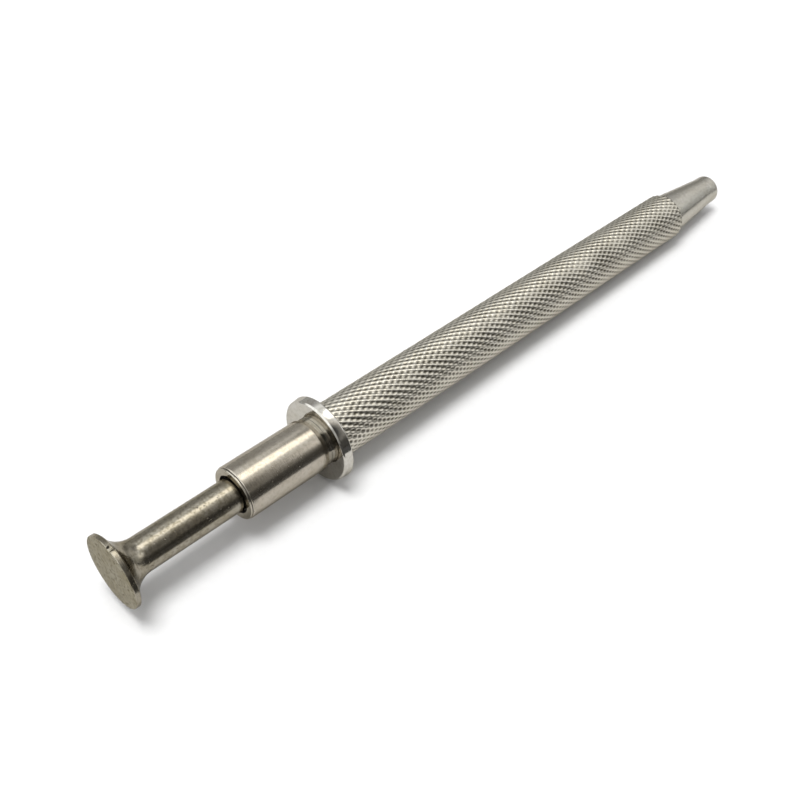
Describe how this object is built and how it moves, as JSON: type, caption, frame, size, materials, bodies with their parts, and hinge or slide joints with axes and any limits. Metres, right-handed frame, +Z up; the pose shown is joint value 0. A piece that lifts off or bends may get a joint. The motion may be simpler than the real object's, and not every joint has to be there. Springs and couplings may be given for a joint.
{
  "type": "four-prong pick-up tool",
  "caption": "Pen-sized pick-up tool: pressing the thumb plunger against the finger flange pushes sprung hooked wire prongs out of the nose to grip a small item.",
  "frame": {"origin": "on the tool's axis, at the front face of the finger flange where the barrel starts", "axes": "+X along the tool towards the nose, +Z up"},
  "size_m": [0.12, 0.0116, 0.0116],
  "materials": {
    "plated_plunger": "worn nickel plating, finely pitted",
    "plated_fittings": "nickel plating over turned brass, fine lathe lines",
    "plated_flange": "nickel plating, satin faces and bright rim",
    "knurled_plating": "nickel plating over a fine diamond knurl",
    "plated_nose": "nickel plating, satin",
    "inner_steel": "plain turned steel",
    "inner_brass": "plain turned brass",
    "spring_wire": "drawn spring wire",
    "prong_wire": "bright spring wire"
  },
  "bodies": {
    "handle": {"barrel": "knurled_plating", "rear_sleeve": "plated_fittings", "rear_bush": "plated_fittings", "finger_flange": "plated_flange", "nose_cone": "plated_nose", "spring_seat": "inner_brass", "front_guide": "inner_brass", "front_washer": "inner_steel", "return_spring": "spring_wire"},
    "spring_follower": {"spring_washer": "inner_steel"},
    "plunger": {"thumb_plunger": "plated_plunger", "stop_collar": "inner_steel", "collar_pin": "inner_steel", "push_rod": "inner_steel", "prong_ferrule": "inner_brass", "ferrule_pin": "inner_steel"},
    "prong_1": {"prong_1": "prong_wire"},
    "prong_2": {"prong_2": "prong_wire"},
    "prong_3": {"prong_3": "prong_wire"},
    "prong_4": {"prong_4": "prong_wire"}
  },
  "joints": [
    {"name": "plunger_slide", "type": "slide", "parent": "handle", "child": "spring_follower", "axis": [1, 0, 0], "range_m": [0, 0.009], "stiffness_N_per_m": 300, "springref_m": -0.004, "deforming": ["return_spring"]},
    {"name": "plunger_spin", "type": "hinge", "parent": "spring_follower", "child": "plunger", "pos_m": [0, 0, 0], "axis": [1, 0, 0], "continuous": true},
    {"name": "prong_1_flex", "type": "hinge", "parent": "plunger", "child": "prong_1", "pos_m": [0.0768, 0.00045, 0], "axis": [0, 0, 1], "range_deg": [0, 9.9]},
    {"name": "prong_2_flex", "type": "hinge", "parent": "plunger", "child": "prong_2", "pos_m": [0.0768, 0, 0.00045], "axis": [0, -1, 0], "range_deg": [0, 9.9]},
    {"name": "prong_3_flex", "type": "hinge", "parent": "plunger", "child": "prong_3", "pos_m": [0.0768, -0.00045, 0], "axis": [0, 0, -1], "range_deg": [0, 9.9]},
    {"name": "prong_4_flex", "type": "hinge", "parent": "plunger", "child": "prong_4", "pos_m": [0.0768, 0, -0.00045], "axis": [0, 1, 0], "range_deg": [0, 9.9]}
  ],
  "couplings": [
    {"joint": "prong_1_flex", "follows": "plunger_slide", "rad_per_m": 19},
    {"joint": "prong_2_flex", "follows": "plunger_slide", "rad_per_m": 19},
    {"joint": "prong_3_flex", "follows": "plunger_slide", "rad_per_m": 19},
    {"joint": "prong_4_flex", "follows": "plunger_slide", "rad_per_m": 19}
  ]
}
